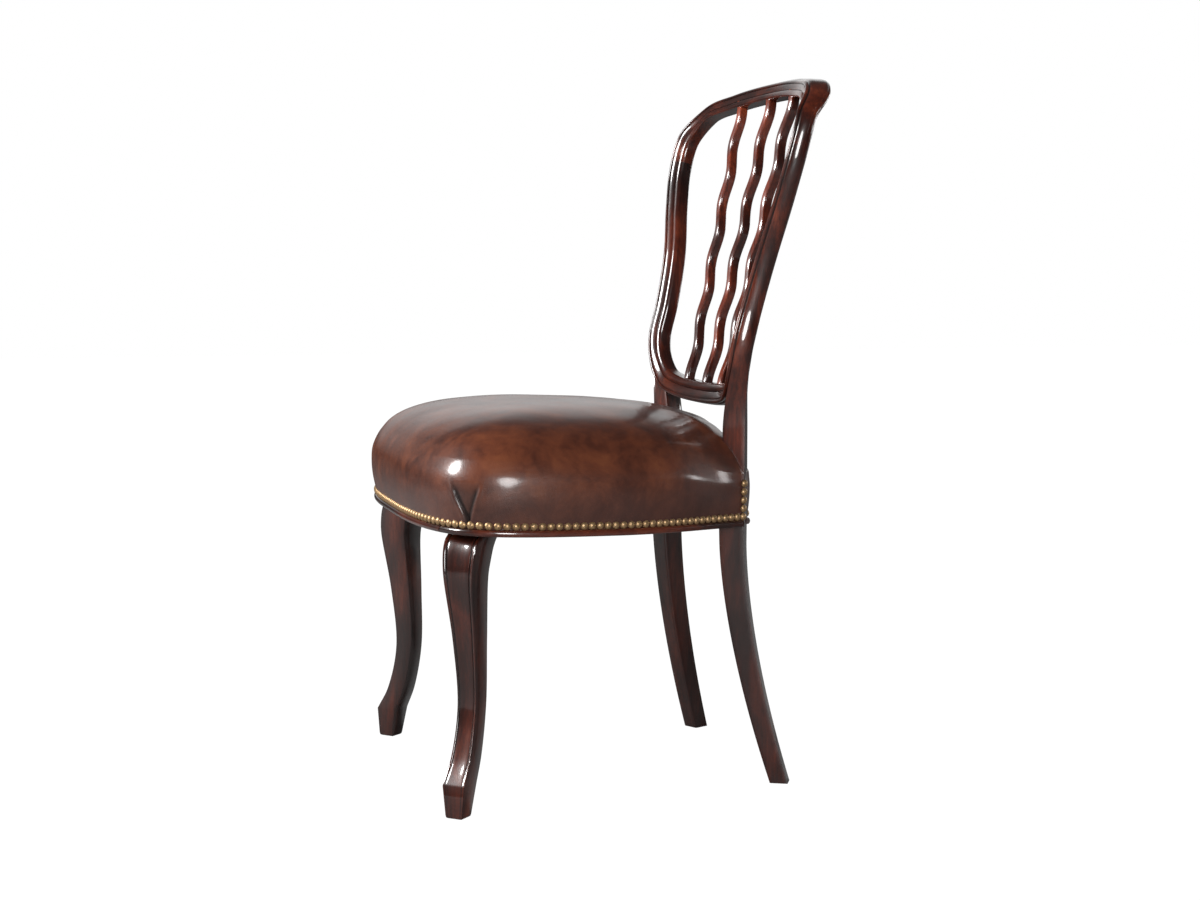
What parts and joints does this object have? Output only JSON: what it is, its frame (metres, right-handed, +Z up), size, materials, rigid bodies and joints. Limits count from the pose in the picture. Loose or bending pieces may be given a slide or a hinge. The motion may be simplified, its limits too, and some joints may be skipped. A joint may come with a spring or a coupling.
{
  "type": "shield back dining chair",
  "caption": "Armless dining chair with a moulded shield-shaped hoop, wavy splats, cabriole front legs, sabre rear legs and a stuffed leather seat",
  "frame": {"origin": "on the floor plane, under the middle of the chair's own box", "axes": "+X across the chair to the sitter's left, +Y to the rear of the chair, +Z up from the floor to the crest rail"},
  "size_m": [0.5964, 0.5899, 0.9662],
  "materials": {
    "mahogany": "french polished and glossy, dark red brown",
    "frame_wood": "planed beech, unfinished",
    "brown_leather": "polished and mottled, dark red brown",
    "hair_pad": "curled hair in calico, matt",
    "jute_webbing": "woven, matt",
    "hessian": "open weave, matt",
    "black_cloth": "plain weave, matt"
  },
  "bodies": {
    "root": {"crest_rail": "mahogany", "lower_back_rail": "mahogany", "splat_left": "mahogany", "splat_centre": "mahogany", "splat_right": "mahogany", "rear_post_left": "mahogany", "rear_post_right": "mahogany", "front_leg_left": "mahogany", "front_leg_right": "mahogany", "seat_bead_front": "mahogany", "seat_bead_left": "mahogany", "seat_bead_right": "mahogany", "seat_bead_rear": "mahogany", "front_rail": "frame_wood", "rear_rail": "frame_wood", "side_rail_left": "frame_wood", "side_rail_right": "frame_wood", "front_corner_block_left": "frame_wood", "front_corner_block_right": "frame_wood", "rear_corner_block_left": "frame_wood", "rear_corner_block_right": "frame_wood", "webbing_long_1": "jute_webbing", "webbing_long_2": "jute_webbing", "webbing_long_3": "jute_webbing", "webbing_long_4": "jute_webbing", "webbing_cross_1": "jute_webbing", "webbing_cross_2": "jute_webbing", "webbing_cross_3": "jute_webbing", "hessian_deck": "hessian", "seat_pad": "hair_pad", "leather_cover": "brown_leather", "dust_cloth": "black_cloth"}
  },
  "joints": []
}
